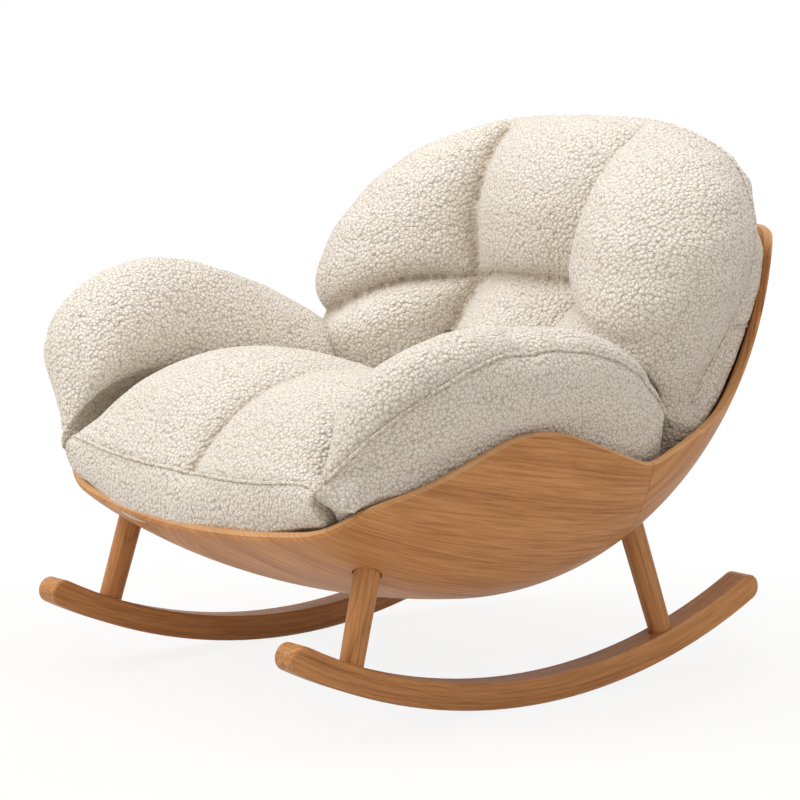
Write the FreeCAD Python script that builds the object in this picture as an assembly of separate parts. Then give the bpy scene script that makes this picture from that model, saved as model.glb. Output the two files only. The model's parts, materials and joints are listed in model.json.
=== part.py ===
"""Upholstered rocking chair: a moulded plywood bowl on four turned legs and two bent runners, with cushions.

Millimetres. X runs across the chair, +Y points to its back and +Z is up. The origin is on the floor, midway
between the runners, under the line where they touch it.
"""
import FreeCAD
import Part
import math
import os
from FreeCAD import Vector

# Bowl: a U-shaped section swung about a cross axis above the seat
bowl_axis_y = -55.0
bowl_axis_z = 658.0
bowl_radius = 531.0
bowl_half_width = 398.0
bowl_floor_arc = 1500.0
bowl_shoulder_arc = 170.0
shell_thickness = 15.0
shell_side_reach = 180.0
bowl_start_angle = -50.0
bowl_end_angle = 100.0

# Rim of the bowl from the side, as places behind and above the bowl's axis
front_rim_angle = 39.0
front_rim_reach = 444.0
front_rim_round = 70.0
arm_peak = (-19.0, -251.0)
arm_peak_round = 212.0
rim_dip = (186.0, -328.0)
rim_dip_round = 65.0
back_foot = (396.0, -249.0)
back_foot_round = 150.0
back_top = (459.0, -13.0)
back_top_round = 55.0
rim_edge_ease = 4.0
rim_edge_tolerance = 0.01

# Joints between the three shell panels, and the battens glued behind them
back_joint_y = 132.0
joint_gap = 0.5
glue_gap = 0.2
batten_width = 60.0
batten_thickness = 9.0
batten_front_angle = 26.0

# Runners
runner_radius = 915.6
runner_height = 37.6
runner_width = 43.0
runner_spacing = 586.0
runner_half_length = 413.0
runner_edge_ease = 2.5

# Legs, each leaning from its foot on the runner into a socket inside the bowl
leg_top_diameter = 37.0
leg_foot_diameter = 33.0
front_foot_y = -313.0
rear_foot_y = 244.0
front_leg_lean = 0.28
rear_leg_lean = -0.32
leg_splay = 0.07
crossing_tolerance = 1e-9
leg_hole_clearance = 1.5
leg_shoulder_gap = 0.2
socket_depth = 24.0
socket_clearance = 0.3
block_width = 68.0
block_skirt = 40.0
block_roof = 14.0
tenon_diameter = 20.0
tenon_length = 24.0
tenon_clearance = 0.15

# Leg bolts, driven through the blocks into the legs
bolt_diameter = 8.0
bolt_grip = 26.0
bolt_head_diameter = 16.0
bolt_head_height = 4.5
bolt_clearance = 0.3
washer_diameter = 24.0
washer_thickness = 2.0

# Seat deck and the two rails glued under it
deck_top_z = 246.0
deck_thickness = 12.0
deck_block_gap = 3.0
rail_width = 40.0
rail_depth = 24.0
rail_length = 440.0
front_rail_y = -150.0
rear_rail_y = 70.0

# Upholstery
soft_gap = 0.4
rim_gap = 2.5
hidden_gap = 6.0
pocket_gap = 1.0
flat_tolerance = 1e-6
facet_turn = 9.0
seat_facets = 12
hidden_shares = (0.15, 0.4, 0.7)
lining_thickness = 1.2

# Seat lobes: places behind the bowl's axis with heights above the deck
seat_stations = (-330, -320, -312, -305, -292, -280, -245, -200, -145, -80, -5, 70, 130, 180, 205)
seat_crest = ((-330, 76), (-309, 110), (-280, 156), (-235, 191), (-155, 216), (-55, 211), (55, 188),
              (145, 156), (205, 106))
seat_channel = ((-330, 56), (-309, 82), (-280, 112), (-235, 144), (-155, 168), (-55, 165), (55, 146),
                (145, 122), (205, 89))
seat_crease = ((-330, 86), (-309, 104), (-280, 118), (-235, 136), (-155, 150), (-55, 150), (55, 138),
               (145, 114), (205, 84))
seat_toe = ((-330, 22), (-320, 9), (-305, 0))
seat_corner_toe = 1.8
seat_core_half_width = 222.0
seat_core_profile = ((-275, 14), (-275, 88), (-235, 122), (-155, 146), (-55, 143), (55, 124), (145, 100),
                     (182, 72), (182, 14))

# Arm lobes: places behind the bowl's axis, with heights above the deck and insets from the bowl's half width
arm_stations = (-328, -323, -318, -311, -305, -298, -292, -286, -280, -262, -245, -222, -200, -145, -80, -5, 70, 130,
                180, 220, 248)
arm_crease_inset = ((-323, 95), (-235, 105), (-55, 123), (135, 146), (200, 152), (240, 146), (259, 132))
arm_crest = ((-328, 95), (-318, 128), (-305, 166), (-280, 230), (-235, 284), (-155, 313), (-55, 312), (45, 295),
             (135, 261), (200, 218), (248, 168))
arm_welt = ((-328, 88), (-318, 107), (-305, 128), (-280, 162), (-235, 204), (-155, 243), (-55, 265), (45, 261),
            (135, 233), (200, 194), (248, 150))
arm_welt_inset = ((-328, 86), (-318, 68), (-305, 48), (-280, 28), (-235, 6), (-155, -6), (-55, -10), (45, -8), (135, -3),
                  (200, 8), (248, 28))
arm_crest_inset = ((-328, 4), (-318, 12), (-305, 20), (-280, 27), (-235, 32), (135, 32), (200, 30), (248, 28))
arm_tuck_inset = ((-328, 2), (-318, 5), (-305, 10), (-280, 16), (-235, 20), (-155, 24), (135, 24), (200, 20), (248, 12))
arm_toe = ((-328, 60), (-318, 44), (-305, 16), (-292, 0))
arm_inner_facets = 10
arm_outer_facets = 7
arm_core_insets = (90.0, 30.0)
arm_core_profile = ((-190, 70), (-190, 190), (-145, 250), (-5, 260), (110, 222), (140, 180), (140, 70))

# Back lobes: turns of their arcs, then heights above the deck with places behind the bowl's axis or sizes
back_middle_turn = 41.0
back_side_turn = 84.0
back_wrap_turn = 135.0
back_rear_turn = 17.5
back_boxing_lean = 0.25
back_drawn_half_width = 398.0
back_stations = (2, 84, 154, 205, 252, 275, 293, 303, 307, 311, 321, 339, 362, 414, 464, 504, 530, 545, 553)
back_seam = ((2, 260), (84, 261), (154, 263), (224, 280), (294, 301), (354, 307), (414, 313), (464, 331),
             (504, 357), (530, 384), (545, 400), (553, 412))
back_seam_half = ((2, 150), (154, 142), (224, 132), (294, 120), (354, 128), (414, 138), (464, 143),
                  (504, 147), (530, 148), (545, 137), (553, 112))
back_side_radius = ((2, 85), (154, 104), (224, 122), (294, 141), (354, 143), (414, 128), (464, 106), (504, 76),
                    (530, 41), (545, 23), (553, 12))
back_wrap_radius = ((2, 58), (154, 88), (224, 106), (294, 121), (354, 127), (414, 126), (464, 111), (504, 86),
                    (530, 51), (545, 29), (553, 15))
back_boxing = ((2, 50), (154, 62), (224, 70), (294, 70), (354, 57), (414, 46), (464, 38), (504, 24),
               (530, 14), (545, 8), (553, 3))
back_core_half_width = 200.0
back_core_profile = ((285, 50), (285, 150), (330, 300), (340, 420), (375, 490), (440, 490), (460, 320),
                     (415, 200), (330, 50))

# Crease between the two rows of back lobes: half widths with drops from its middle and places behind the axis
row_height = 307.0
row_drop = ((0, 0), (120, 1), (262, 52), (420, 93))
row_depth = ((0, 303), (120, 306), (262, 236), (420, 236))
row_lip = 72.0
row_sway = 240.0


def save(name, shape):
    """Write one piece as parts/NAME.step, after a check that every solid in it is sound."""
    if not shape.isValid() or not shape.Solids or min(solid.Volume for solid in shape.Solids) <= 0:
        raise ValueError("unsound piece: " + name)
    shape.exportStep(os.path.join("parts", name + ".step"))
    print("%-22s solids %d  volume %.1f cm3" % (name, len(shape.Solids), shape.Volume / 1000))


def mirrored(shape):
    """The same piece on the other side of the chair."""
    return shape.mirror(Vector(0, 0, 0), Vector(1, 0, 0))


def joined(shapes):
    """Several like pieces kept as separate solids of one node."""
    return Part.Compound(shapes)


def arc(start, middle, end):
    """Circular edge through three points."""
    return Part.Arc(start, middle, end).toShape()


def along(knots, place):
    """Value at a place on the smooth line through (place, value) knots."""
    last = len(knots) - 1
    index = max(i for i in range(last) if knots[i][0] <= place or i == 0)
    slopes = []
    for i in (index, index + 1):
        low, high = knots[max(i - 1, 0)], knots[min(i + 1, last)]
        slopes.append((high[1] - low[1]) / (high[0] - low[0]))
    (start, first), (end, second) = knots[index], knots[index + 1]
    span = end - start
    t = (place - start) / span
    return ((2 * t ** 3 - 3 * t ** 2 + 1) * first + (t ** 3 - 2 * t ** 2 + t) * span * slopes[0]
            + (3 * t ** 2 - 2 * t ** 3) * second + (t ** 3 - t ** 2) * span * slopes[1])


def rounded_path(points, radii):
    """Edges through points in a side view, with a tangent arc at each inner point."""
    edges = []
    start = points[0]
    for corner, after, radius in zip(points[1:-1], points[2:], radii):
        into = (start - corner).normalize()
        out = (after - corner).normalize()
        half = into.getAngle(out) / 2
        trim = radius / math.tan(half)
        middle = corner + (into + out).normalize() * (radius / math.sin(half) - radius)
        edges.append(Part.makeLine(start, corner + into * trim))
        edges.append(arc(corner + into * trim, middle, corner + out * trim))
        start = corner + out * trim
    edges.append(Part.makeLine(start, points[-1]))
    return edges


def from_axis(place):
    """Point in the chair's middle plane, given behind and above the bowl's axis."""
    return Vector(0, bowl_axis_y + place[0], bowl_axis_z + place[1])


def at_angle(angle, reach):
    """Place behind and above the bowl's axis at an angle behind straight down."""
    turn = math.radians(angle)
    return (reach * math.sin(turn), -reach * math.cos(turn))


def bowl_curve(inset):
    """Edges of the U section, from one side's top round the floor to the other, inset from the outer face."""
    tilt = math.asin((bowl_half_width - bowl_shoulder_arc) / (bowl_floor_arc - bowl_shoulder_arc))
    centre_x = bowl_half_width - bowl_shoulder_arc
    centre_reach = bowl_radius - bowl_floor_arc + (bowl_floor_arc - bowl_shoulder_arc) * math.cos(tilt)
    radius = bowl_shoulder_arc - inset

    def point(x, reach):
        return Vector(x, bowl_axis_y, bowl_axis_z - reach)

    def shoulder(angle):
        return point(centre_x + radius * math.sin(angle), centre_reach + radius * math.cos(angle))

    right = [point(bowl_half_width - inset, shell_side_reach), shoulder(math.pi / 2),
             shoulder((math.pi / 2 + tilt) / 2), shoulder(tilt)]
    left = [Vector(-p.x, p.y, p.z) for p in right]
    floor = arc(right[3], point(0, bowl_radius - inset), left[3])
    return [Part.makeLine(right[0], right[1]), arc(*right[1:]), floor, arc(left[3], left[2], left[1]),
            Part.makeLine(left[1], left[0])]


def swung(edges, start_angle, end_angle):
    """Solid swung from a closed section about the bowl's axis, between two angles behind straight down."""
    face = Part.Face(Part.Wire(Part.__sortEdges__(edges)))
    face.rotate(from_axis((0, 0)), Vector(1, 0, 0), start_angle)
    return face.revolve(from_axis((0, 0)), Vector(1, 0, 0), end_angle - start_angle)


def bowl_wall(outer_inset, inner_inset):
    """Wall of the bowl between two insets from its outer face, before the rim is cut."""
    outer, inner = bowl_curve(outer_inset), bowl_curve(inner_inset)
    caps = [Part.makeLine(outer[0].Vertexes[0].Point, inner[0].Vertexes[0].Point),
            Part.makeLine(outer[-1].Vertexes[-1].Point, inner[-1].Vertexes[-1].Point)]
    return swung(outer + inner + caps, bowl_start_angle, bowl_end_angle)


def bowl_inside(inset):
    """Space inside the bowl, inset from its outer face."""
    curve = bowl_curve(inset)
    lid = Part.makeLine(curve[-1].Vertexes[-1].Point, curve[0].Vertexes[0].Point)
    return swung(curve + [lid], bowl_start_angle, bowl_end_angle)


def below_rim(lift):
    """Everything below the bowl's rim line, raised by lift."""
    far = 2 * bowl_radius
    front = at_angle(-front_rim_angle, far)
    corner = at_angle(-front_rim_angle, front_rim_reach)
    places = [front, corner, arm_peak, rim_dip, back_foot, back_top, (far, back_top[1])]
    points = [from_axis(place) + Vector(0, 0, lift) for place in places]
    radii = (front_rim_round, arm_peak_round, rim_dip_round, back_foot_round, back_top_round)
    edges = rounded_path(points, radii)
    under = [from_axis((far, -far)), from_axis((-far, -far))]
    edges += [Part.makeLine(points[-1], under[0]), Part.makeLine(under[0], under[1]),
              Part.makeLine(under[1], points[0])]
    face = Part.Face(Part.Wire(edges))
    face.translate(Vector(-far, 0, 0))
    return face.extrude(Vector(2 * far, 0, 0))


def slab(low, high):
    """Box between two corners."""
    size = [b - a for a, b in zip(low, high)]
    return Part.makeBox(*size, Vector(*low))


def along_axis(shape, foot, direction):
    """Move a piece made up the Z axis so that it stands at foot and points along direction."""
    placed = shape.copy()
    placed.Placement = FreeCAD.Placement(foot, FreeCAD.Rotation(Vector(0, 0, 1), direction))
    return placed


def rod(start, length, diameter):
    """Cylinder up the Z axis from height start."""
    return Part.makeCylinder(diameter / 2, length, Vector(0, 0, start))


def bowl_reach(across, inset):
    """Reach of the bowl's face from its axis, at a distance across from the chair's middle."""
    tilt = math.asin((bowl_half_width - bowl_shoulder_arc) / (bowl_floor_arc - bowl_shoulder_arc))
    centre_x = bowl_half_width - bowl_shoulder_arc
    centre_reach = bowl_radius - bowl_floor_arc + (bowl_floor_arc - bowl_shoulder_arc) * math.cos(tilt)
    radius = bowl_shoulder_arc - inset
    if across > centre_x + radius * math.sin(tilt):
        return centre_reach + math.sqrt(max(radius ** 2 - (across - centre_x) ** 2, 0))
    return bowl_radius - bowl_floor_arc + math.sqrt((bowl_floor_arc - inset) ** 2 - across ** 2)


class Leg:
    """One leg's axis, from its foot on the runner up into the bowl."""

    def __init__(self, foot_y, lean):
        """Place the axis by its foot and find where it crosses the bowl's two faces."""
        rise = math.sqrt((runner_radius - runner_height) ** 2 - foot_y ** 2)
        self.foot = Vector(runner_spacing / 2, foot_y, runner_radius - rise)
        self.way = Vector(-leg_splay, lean, 1).normalize()
        self.outer = self.crossing(0)
        self.inner = self.crossing(shell_thickness)
        self.top = self.inner + socket_depth
        self.roof = self.top + block_roof

    def crossing(self, inset):
        """Length along the axis at which it meets the bowl's face at an inset."""
        low, high = 0.0, bowl_radius
        while high - low > crossing_tolerance:
            middle = (low + high) / 2
            point = self.foot + self.way * middle
            reach = math.hypot(point.y - bowl_axis_y, point.z - bowl_axis_z)
            inside = reach < bowl_reach(point.x, inset)
            low, high = (low, middle) if inside else (middle, high)
        return high

    def place(self, shape):
        """Stand a piece made up the Z axis on this leg's axis."""
        return along_axis(shape, self.foot, self.way)

    def shaft(self, clearance):
        """Tapered leg from below its shoulder to its top, with a clearance all round."""
        below = runner_height / 2
        return self.place(Part.makeCone(leg_foot_diameter / 2 + clearance, leg_top_diameter / 2 + clearance,
                                        self.top + below, Vector(0, 0, -below)))

    def tenon(self, clearance):
        """Round tenon below the shoulder."""
        return self.place(rod(-tenon_length - clearance, tenon_length + clearance + runner_height / 4,
                              tenon_diameter + 2 * clearance))

    def hardware(self, clearance):
        """Bolt and washer that clamp the leg into its block."""
        grip = self.top - bolt_grip
        bolt = rod(grip, self.roof - grip, bolt_diameter + 2 * clearance)
        head = rod(self.roof + washer_thickness, bolt_head_height, bolt_head_diameter + 2 * clearance)
        washer = rod(self.roof, washer_thickness, washer_diameter + 2 * clearance)
        return self.place(bolt.fuse([head, washer]).removeSplitter())

    def block_box(self, grow):
        """Square block round the leg's top, before it is fitted to the bowl."""
        half = block_width / 2 + grow
        box = slab((-half, -half, self.inner - block_skirt), (half, half, self.roof + grow))
        return self.place(box)


def runner():
    """Bent runner on the +X side, without its mortises."""
    inner = runner_radius - runner_height
    reach = math.asin(runner_half_length / runner_radius)

    def point(radius, angle):
        return Vector(0, radius * math.sin(angle), runner_radius - radius * math.cos(angle))

    middle = runner_radius - runner_height / 2
    tip = runner_height / 2 / middle
    edges = [arc(point(runner_radius, -reach), point(runner_radius, 0), point(runner_radius, reach)),
             arc(point(runner_radius, reach), point(middle, reach + tip), point(inner, reach)),
             arc(point(inner, reach), point(inner, 0), point(inner, -reach)),
             arc(point(inner, -reach), point(middle, -reach - tip), point(runner_radius, -reach))]
    face = Part.Face(Part.Wire(edges))
    face.translate(Vector(runner_spacing / 2 - runner_width / 2, 0, 0))
    bar = face.extrude(Vector(runner_width, 0, 0))
    long_edges = [edge for edge in bar.Edges if abs(edge.tangentAt(edge.FirstParameter).x) < 0.5]
    return bar.makeChamfer(runner_edge_ease, long_edges)


def rim_edges(shell, region):
    """Edges of the shell along both sides of its rim, without those that run through its thickness."""
    found = []
    for edge in shell.Edges:
        halfway = (edge.FirstParameter + edge.LastParameter) / 2
        middle = Part.Vertex(edge.valueAt(halfway))
        through = edge.Curve.TypeId == "Part::GeomLine" and abs(edge.tangentAt(halfway).x) > 0.99
        if not through and min(face.distToShape(middle)[0] for face in region.Faces) < rim_edge_tolerance:
            found.append(edge)
    return found


def shell_panels(legs):
    """Left, right and back panels of the moulded shell, with the legs' holes."""
    rim = below_rim(0)
    shell = bowl_wall(0, shell_thickness).common(rim)
    shell = shell.makeChamfer(rim_edge_ease, rim_edges(shell, rim))
    far = 2 * bowl_radius
    half = joint_gap / 2
    back = shell.common(slab((-far, back_joint_y + half, -far), (far, far, far)))
    right = shell.common(slab((half, -far, -far), (far, back_joint_y - half, far)))
    diameter = leg_top_diameter + 2 * leg_hole_clearance
    holes = [leg.place(rod(leg.outer - shell_thickness, 4 * shell_thickness, diameter)) for leg in legs]
    right = right.cut(holes)
    both_holes = holes + [mirrored(hole) for hole in holes]
    return mirrored(right), right, back.cut(both_holes)


def joint_battens(legs):
    """Battens glued inside the shell behind its two joints, below the deck and between the leg blocks."""
    inner = shell_thickness + glue_gap
    wall = bowl_wall(inner, inner + batten_thickness)
    far = 2 * bowl_radius
    half = batten_width / 2
    below_deck = deck_top_z - deck_thickness - glue_gap
    across = wall.common(slab((-far, back_joint_y - half, 0), (far, back_joint_y + half, below_deck)))
    for leg in legs:
        corner = leg.block_box(deck_block_gap)
        across = across.cut([corner, mirrored(corner)])
    keel_front = bowl_axis_y + at_angle(-batten_front_angle, bowl_radius)[0]
    keel_back = back_joint_y - half - glue_gap
    return wall.common(slab((-half, keel_front, 0), (half, keel_back, below_deck))), across


def above_runners(gap):
    """Space over the runners' bowed top faces, less a gap."""
    reach = 2 * bowl_half_width
    return Part.makeCylinder(runner_radius - runner_height - gap, 2 * reach, Vector(-reach, 0, runner_radius),
                             Vector(1, 0, 0))


def leg_set(leg, bar):
    """Leg, block and bolt at one corner, and the mortised bar that the leg stands on."""
    bore = leg.hardware(bolt_clearance)
    turned = leg.shaft(0).common(above_runners(leg_shoulder_gap)).fuse(leg.tenon(0)).removeSplitter()
    hole = leg.place(rod(leg.outer - block_skirt, leg.top - leg.outer + block_skirt + glue_gap,
                         leg_top_diameter + 2 * socket_clearance))
    block = leg.block_box(0).common(bowl_inside(shell_thickness + glue_gap)).cut([hole, bore])
    return turned.cut(bore), block, leg.hardware(0), bar.cut(leg.tenon(tenon_clearance))


def seat_deck(legs):
    """Plywood deck wedged in the bowl, with its corners cut round the leg blocks, and the rails under it."""
    low = deck_top_z - deck_thickness
    far = 2 * bowl_radius
    deck = bowl_inside(shell_thickness + glue_gap).common(slab((-far, -far, low), (far, far, deck_top_z)))
    for leg in legs:
        corner = leg.block_box(deck_block_gap)
        deck = deck.cut([corner, mirrored(corner)])
    half = rail_width / 2
    top = low - glue_gap
    rails = [slab((-rail_length / 2, y - half, top - rail_depth), (rail_length / 2, y + half, top))
             for y in (front_rail_y, rear_rail_y)]
    return deck, rails


def skinned(sections):
    """Solid through sections given as corner points, with flat facets from each section to the next."""
    faces = [flat(sections[0]), flat(sections[-1])]
    for low, high in zip(sections, sections[1:]):
        for i in range(len(low)):
            corners = [low[i - 1], low[i], high[i], high[i - 1]]
            normal = (corners[1] - corners[0]).cross(corners[3] - corners[0]).normalize()
            if abs((corners[2] - corners[0]).dot(normal)) < flat_tolerance:
                faces.append(flat(corners))
            else:
                faces += [flat(corners[:3]), flat([corners[0], corners[2], corners[3]])]
    return Part.Solid(Part.Shell(faces))


def flat(corners):
    """Flat face round corner points."""
    return Part.Face(Part.makePolygon(corners + corners[:1]))


def facet_points(centre, radius, start_angle, end_angle, across, ahead, count=None):
    """Points on an arc about a centre, at angles from the ahead direction towards the across direction."""
    count = count or math.ceil(abs(end_angle - start_angle) / facet_turn)
    turns = [math.radians(start_angle + (end_angle - start_angle) * i / count) for i in range(count + 1)]
    return [centre + (across * math.sin(turn) + ahead * math.cos(turn)) * radius for turn in turns]


def prism(profile, low_x, high_x, grow):
    """Block of foam with a side profile of places behind the bowl's axis and heights, grown all round."""
    corners = [Vector(low_x - grow, bowl_axis_y + place, deck_top_z + height) for place, height in profile]
    face = Part.Face(Part.makePolygon(corners + corners[:1]))
    if grow:
        face = face.makeOffset2D(grow, 2)
    return face.extrude(Vector(high_x - low_x + 2 * grow, 0, 0))


def seat_width(place):
    """Half width of the seat between the arms, at a place behind the bowl's axis."""
    return bowl_half_width - along(arm_crease_inset, max(place, arm_crease_inset[0][0]))


def underside(x, y, rim, grow):
    """Height of the cushions' hidden underside: on the lining, or where the bowl and its rim are higher."""
    base = deck_top_z + lining_thickness + 2 * soft_gap
    fall = bowl_reach(abs(x), shell_thickness + hidden_gap) ** 2 - (y - bowl_axis_y) ** 2
    bowl = bowl_axis_z - math.sqrt(max(fall, 0))
    return max(base, min(bowl, rim_height(rim, y) + hidden_gap)) - grow


def seat_form(grow):
    """Two seat lobes with a channel between them, grown all round."""
    sections = []
    rim = below_rim(rim_gap)
    for place in seat_stations:
        end = math.copysign(grow, place) if place in (seat_stations[0], seat_stations[-1]) else 0
        y = bowl_axis_y + place + end
        half = seat_width(place) - soft_gap + grow
        toe = along(seat_toe, place) if place < seat_toe[-1][0] else 0

        def point(x, height):
            return Vector(x, y, deck_top_z + height + grow)

        crest = along(seat_crest, place)
        middle = point(0, along(seat_channel, place))
        right = point(half, along(seat_crease, place))
        lobe = lobe_points(middle, right, point(0, crest).z, seat_facets)
        lobe += [Vector(x, y, underside(x, y, rim, grow) + toe * (1 + seat_corner_toe * (x / half) ** 2))
                 for x in (half, half / 2)]
        other = [Vector(-corner.x, corner.y, corner.z) for corner in lobe[:0:-1]]
        sections.append(lobe + [Vector(0, y, underside(0, y, rim, grow) + toe)] + other)
    return skinned(sections)


def lobe_points(start, end, crest, count):
    """Points on the half ellipse that stands on two points in a plane across the chair and rises to a height."""
    rise = Vector(0, 0, crest - (start.z + end.z) / 2)
    turns = [math.pi * i / count for i in range(count + 1)]
    return [start + (end - start) * ((1 - math.cos(turn)) / 2) + rise * math.sin(turn) for turn in turns]


def level_points(start, top, count):
    """Points on the arc that leaves start and is level at top, in a plane across the chair."""
    across, drop = top.x - start.x, top.z - start.z
    radius = (across ** 2 + drop ** 2) / (2 * drop)
    turn = 2 * math.degrees(math.atan(drop / across))
    centre = Vector(top.x, top.y, top.z - radius)
    return facet_points(centre, radius, -turn, 0, Vector(1, 0, 0), Vector(0, 0, 1), count)


def arm_form(grow):
    """Arm lobe on the +X side, from its crease at the seat over its crest to the boxing inside the rim."""
    sections = []
    rim = below_rim(rim_gap)
    for place in arm_stations:
        end = math.copysign(grow, place) if place in (arm_stations[0], arm_stations[-1]) else 0
        y = bowl_axis_y + place + end
        crease_z = deck_top_z + along(seat_crease, min(place, seat_stations[-1]))
        crease = Vector(seat_width(place) + soft_gap - grow, y, crease_z)
        welt_x = bowl_half_width - along(arm_welt_inset, place) + grow
        welt = Vector(welt_x, y, deck_top_z + along(arm_welt, place) + grow)
        crest = Vector(welt_x - along(arm_crest_inset, place), y, deck_top_z + along(arm_crest, place) + grow)
        toe = along(arm_toe, place) if place < arm_toe[-1][0] else 0
        tuck = Vector(welt_x - along(arm_tuck_inset, place), y, rim_height(rim, y) + toe)
        hidden = [tuck.x + (crease.x - tuck.x) * share for share in hidden_shares] + [crease.x]
        section = level_points(crease, crest, arm_inner_facets)
        section += level_points(welt, crest, arm_outer_facets)[-2::-1]
        sections.append(section + [tuck] + [Vector(x, y, underside(x, y, rim, grow) + toe) for x in hidden])
    return skinned(sections)


def rim_height(rim, y):
    """Height of the rim line at a place along the chair."""
    upright = Part.makeLine(Vector(0, y, deck_top_z), Vector(0, y, back_top[1] + bowl_axis_z))
    below = rim.common(upright)
    return max(vertex.Z for vertex in below.Vertexes) if below.Vertexes else deck_top_z


def back_section(height):
    """Corners of a level section of the back: three front lobes, two boxed sides and a bowed rear."""
    across, ahead = Vector(1, 0, 0), Vector(0, -1, 0)
    middle_turn, side_turn, rear_turn = (math.radians(turn) for turn in (back_middle_turn, back_side_turn,
                                                                         back_rear_turn))
    scale = bowl_half_width / back_drawn_half_width
    seam_half = along(back_seam_half, height) * scale
    seam = Vector(seam_half, bowl_axis_y + along(back_seam, height), deck_top_z + height)
    middle_radius = seam_half / math.sin(middle_turn)
    middle_centre = Vector(0, seam.y + middle_radius * math.cos(middle_turn), seam.z)
    side_radius = along(back_side_radius, height) * scale
    side_centre = seam + Vector(math.sin(side_turn), math.cos(side_turn), 0) * side_radius
    wrap_radius = along(back_wrap_radius, height) * scale
    wrap_centre = side_centre + Vector(0, wrap_radius - side_radius, 0)
    front = facet_points(middle_centre, middle_radius, -back_middle_turn, back_middle_turn, across, ahead)
    side = facet_points(side_centre, side_radius, -back_side_turn, 0, across, ahead)
    wrap = facet_points(wrap_centre, wrap_radius, 0, back_wrap_turn, across, ahead)[1:]
    corner = wrap[-1] + Vector(-back_boxing_lean, 1, 0) * along(back_boxing, height)
    rear_radius = corner.x / math.sin(rear_turn)
    rear_centre = Vector(0, corner.y - rear_radius * math.cos(rear_turn), seam.z)
    rear = facet_points(rear_centre, rear_radius, 180 - back_rear_turn, 180 + back_rear_turn, across, ahead)
    front = [creased(point, height, 1) for point in front]
    side = [creased(point, height, 1) for point in side[1:]]
    side += [creased(point, height, (1 + (wrap_centre.y - point.y) / wrap_radius) / 2) for point in wrap]
    other = [Vector(-point.x, point.y, point.z) for point in side[::-1]]
    return [within_bowl(point) for point in front + side + rear + other]


def within_bowl(point):
    """The point, or the one ahead of it that just clears the inside of the bowl."""
    room = bowl_reach(abs(point.x), shell_thickness + hidden_gap) ** 2 - (point.z - bowl_axis_z) ** 2
    return Vector(point.x, min(point.y, bowl_axis_y + math.sqrt(room)), point.z)


def creased(point, height, share):
    """The point of a level section drawn in, and down by a share, towards the crease between the rows of lobes."""
    across = abs(point.x)
    away = abs(height - row_height)
    lip = 1 - math.sqrt(1 - max(1 - away / row_lip, 0) ** 2)
    sway = math.cos(math.pi / 2 * min(away / row_sway, 1)) ** 2
    inward = max(bowl_axis_y + along(row_depth, across) - point.y, 0) * lip
    return point + Vector(0, inward, -along(row_drop, across) * sway * share)


def back_form():
    """Back cushion: three upper lobes over three lower ones."""
    return skinned([back_section(height) for height in back_stations])


def main():
    """Build every piece of the chair and write one file for each."""
    os.makedirs("parts", exist_ok=True)
    legs = [Leg(front_foot_y, front_leg_lean), Leg(rear_foot_y, rear_leg_lean)]
    for name, panel in zip(("left", "right", "back"), shell_panels(legs)):
        save("shell_" + name, panel)
    keel, across = joint_battens(legs)
    save("keel_batten", keel)
    save("back_batten", across)

    bar = runner()
    blocks, bolts = [], []
    for name, leg in zip(("front", "rear"), legs):
        turned, block, bolt, bar = leg_set(leg, bar)
        save("leg_%s_right" % name, turned)
        save("leg_%s_left" % name, mirrored(turned))
        blocks += [block, mirrored(block)]
        bolts += [bolt, mirrored(bolt)]
    save("leg_blocks", joined(blocks))
    save("leg_bolts", joined(bolts))
    save("runner_right", bar)
    save("runner_left", mirrored(bar))

    deck, rails = seat_deck(legs)
    save("seat_deck", deck)
    save("deck_rail_front", rails[0])
    save("deck_rail_rear", rails[1])

    pockets = []
    for leg in legs:
        corner = leg.block_box(pocket_gap).fuse(leg.hardware(pocket_gap))
        pockets += [corner, mirrored(corner)]
    low = deck_top_z + soft_gap
    far = 2 * bowl_radius
    sheet = slab((-far, -far, low), (far, far, low + lining_thickness))
    save("seat_lining", bowl_inside(shell_thickness + soft_gap).common(sheet).cut(pockets))

    half = seat_core_half_width
    save("seat_cover", seat_form(0).cut(pockets + [prism(seat_core_profile, -half, half, soft_gap)]))
    save("seat_core", prism(seat_core_profile, -half, half, 0))
    inner, outer = (bowl_half_width - inset for inset in arm_core_insets)
    seat_room = seat_form(soft_gap)
    arm_cover = arm_form(0).cut(pockets + [seat_room, prism(arm_core_profile, inner, outer, soft_gap)])
    arm_core = prism(arm_core_profile, inner, outer, 0)
    save("arm_cover_right", arm_cover)
    save("arm_core_right", arm_core)
    save("arm_cover_left", mirrored(arm_cover).cut(seat_room))
    save("arm_core_left", mirrored(arm_core))
    arm_room = arm_form(soft_gap)
    half = back_core_half_width
    core_room = prism(back_core_profile, -half, half, soft_gap)
    back_room = pockets + [seat_room, arm_room, mirrored(arm_room), core_room]
    save("back_cover", back_form().cut(back_room))
    save("back_core", prism(back_core_profile, -half, half, 0))


if __name__ == "__main__":
    main()
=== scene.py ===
"""Upholstered rocking chair: cushions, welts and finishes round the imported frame, in a pale studio.

Metres, in the frame's own axes: X across the chair, +Y to its back and +Z up.
"""
from __future__ import annotations

import json
import logging
import math
from dataclasses import dataclass
from enum import Enum

import bmesh
import bpy
import numpy as np
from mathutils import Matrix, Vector
from mathutils.bvhtree import BVHTree
from mathutils.kdtree import KDTree

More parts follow.
